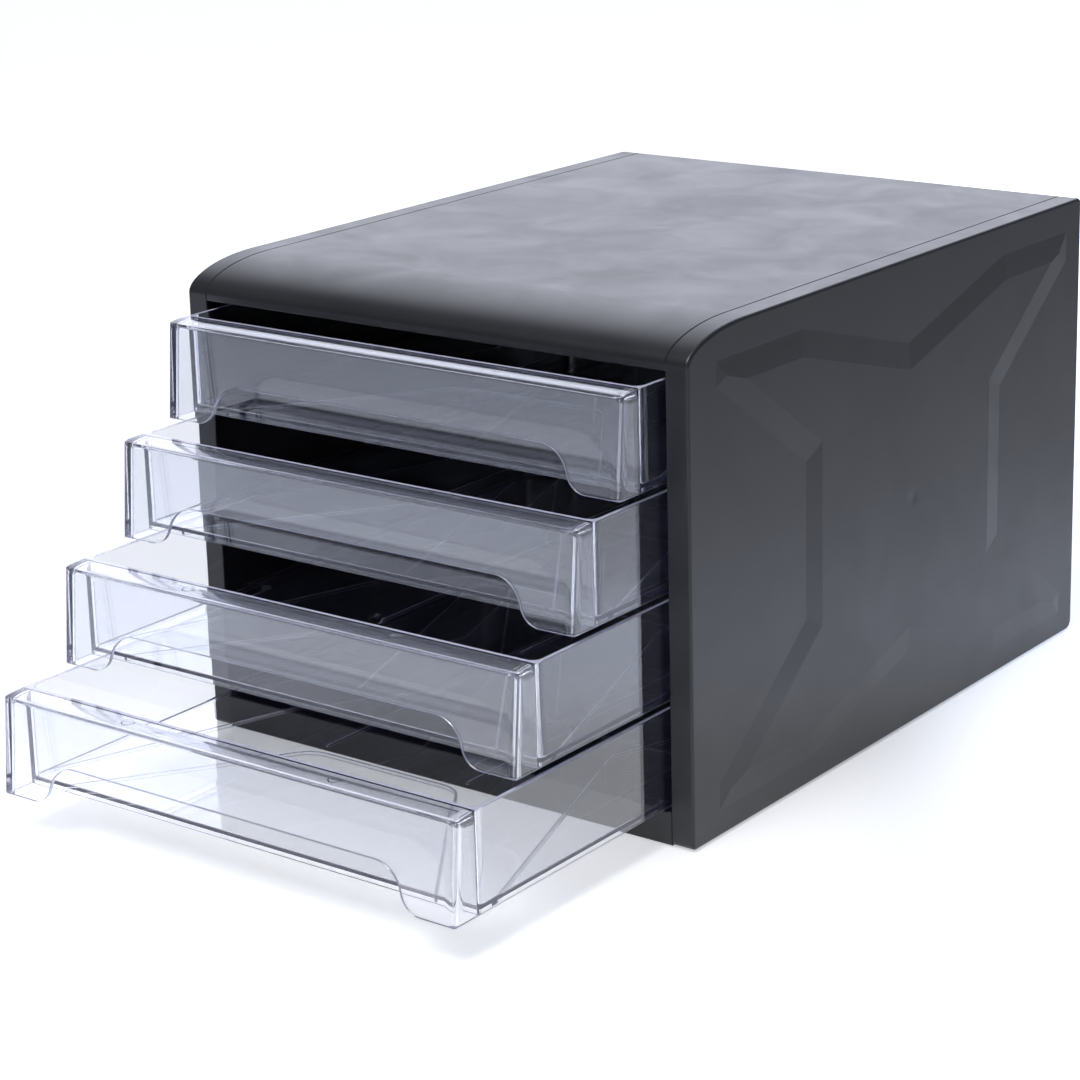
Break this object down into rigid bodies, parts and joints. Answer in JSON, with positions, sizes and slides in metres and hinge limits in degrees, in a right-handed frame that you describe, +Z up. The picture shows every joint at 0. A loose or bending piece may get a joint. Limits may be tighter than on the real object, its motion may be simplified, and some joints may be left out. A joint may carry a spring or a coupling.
{
  "type": "letter tray stack with drawers",
  "caption": "Desktop filing cabinet: black panel housing with stacked clear slide-out letter trays, each with a hooded front and finger cut-out.",
  "frame": {"origin": "bottom centre of the whole outline box with the drawers standing out as pictured, on the plane that the feet stand on", "axes": "+X to the right seen from the front, drawers open towards -Y, +Z up"},
  "size_m": [0.2718, 0.4753, 0.2188],
  "materials": {
    "cabinet_side": "satin black moulded polystyrene, fine mould grain",
    "cabinet_top": "satin-gloss black moulded polystyrene",
    "cabinet_base": "satin black moulded polystyrene",
    "cabinet_back": "satin black moulded polystyrene",
    "clear_drawer": "crystal clear moulded polystyrene",
    "foot": "matt black elastomer pad"
  },
  "bodies": {
    "cabinet": {"left_side_panel": "cabinet_side", "right_side_panel": "cabinet_side", "top_cover": "cabinet_top", "base_panel": "cabinet_base", "back_panel": "cabinet_back", "foot_front_left": "foot", "foot_front_right": "foot", "foot_rear_left": "foot", "foot_rear_right": "foot"},
    "top_drawer": {"drawer_top": "clear_drawer"},
    "second_drawer": {"drawer_second": "clear_drawer"},
    "third_drawer": {"drawer_third": "clear_drawer"},
    "bottom_drawer": {"drawer_bottom": "clear_drawer"}
  },
  "joints": [
    {"name": "top_drawer_slide", "type": "slide", "parent": "cabinet", "child": "top_drawer", "axis": [0, -1, 0], "range_m": [-0.0294, 0.2076]},
    {"name": "second_drawer_slide", "type": "slide", "parent": "cabinet", "child": "second_drawer", "axis": [0, -1, 0], "range_m": [-0.0615, 0.1755]},
    {"name": "third_drawer_slide", "type": "slide", "parent": "cabinet", "child": "third_drawer", "axis": [0, -1, 0], "range_m": [-0.1007, 0.1363]},
    {"name": "bottom_drawer_slide", "type": "slide", "parent": "cabinet", "child": "bottom_drawer", "axis": [0, -1, 0], "range_m": [-0.1403, 0.0967]}
  ]
}
